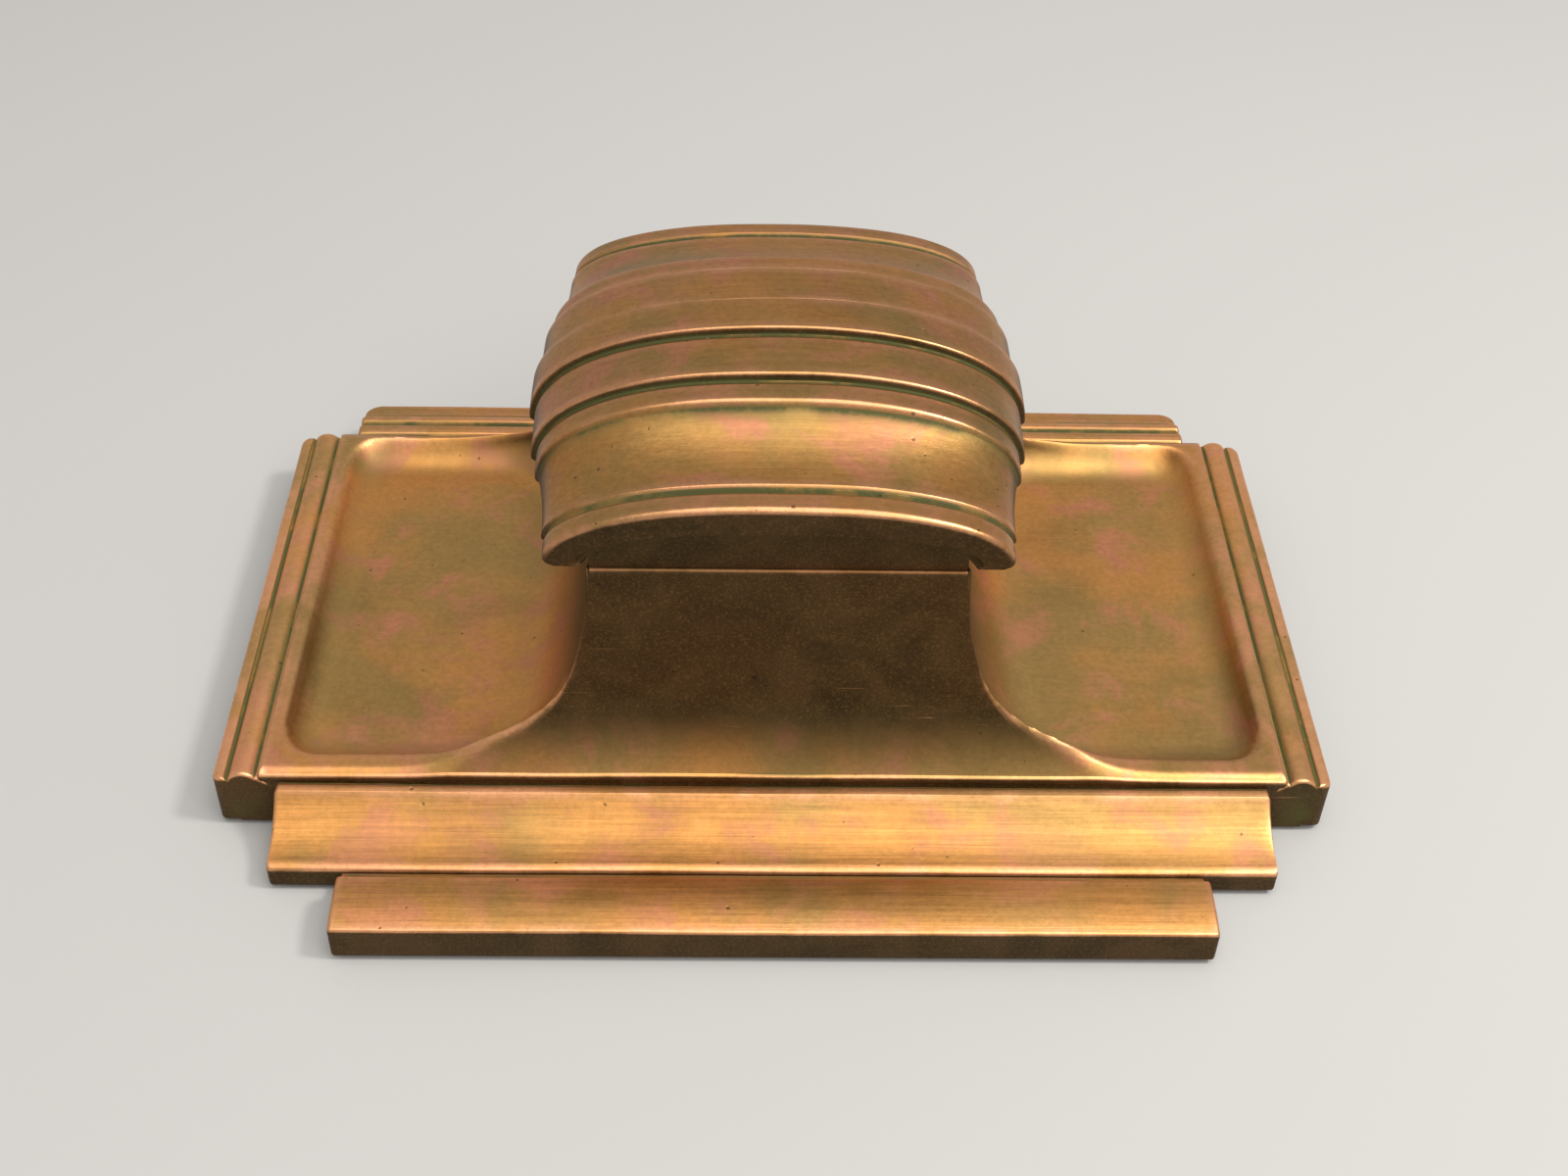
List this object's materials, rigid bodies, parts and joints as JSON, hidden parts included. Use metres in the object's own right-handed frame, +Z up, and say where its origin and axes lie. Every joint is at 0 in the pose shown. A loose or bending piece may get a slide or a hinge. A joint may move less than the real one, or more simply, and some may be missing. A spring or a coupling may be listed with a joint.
{
  "type": "desk inkwell",
  "caption": "Stepped bronze desk inkwell with dished side trays, a flared pedestal holding a drop-in glass pot, and a rear-hinged arched lid with stepped ridges.",
  "frame": {"origin": "centre of the footprint, on the surface that the inkwell stands on", "axes": "+X along the width, to the right seen from the front; +Y towards the hinged back; +Z up"},
  "size_m": [0.16, 0.1146, 0.0633],
  "materials": {
    "bronze": "aged bronze, satin, with worn copper-coloured edges and green in the grooves",
    "hinge_brass": "dull yellow brass",
    "steel": "plain bright steel, slightly tarnished",
    "pot_glass": "clear moulded glass with a faint green cast",
    "fibreboard": "pressed fibreboard, matt",
    "felt": "dark green wool felt"
  },
  "bodies": {
    "base": {"base_casting": "bronze", "underside_board": "fibreboard", "board_screws": "steel", "felt_pad": "felt", "hinge_leaf_base": "hinge_brass", "hinge_pin": "steel", "hinge_screws_base": "hinge_brass"},
    "lid": {"lid_casting": "bronze", "hinge_leaf_lid": "hinge_brass", "hinge_screws_lid": "hinge_brass"},
    "pot": {"glass_well": "pot_glass"}
  },
  "joints": [
    {"name": "lid_hinge", "type": "hinge", "parent": "base", "child": "lid", "pos_m": [0, 0.0405, 0.0441], "axis": [-1, 0, 0], "range_deg": [0, 105]},
    {"name": "glass_lift", "type": "slide", "parent": "base", "child": "pot", "axis": [0, 0, 1], "range_m": [0, 0.005]}
  ]
}
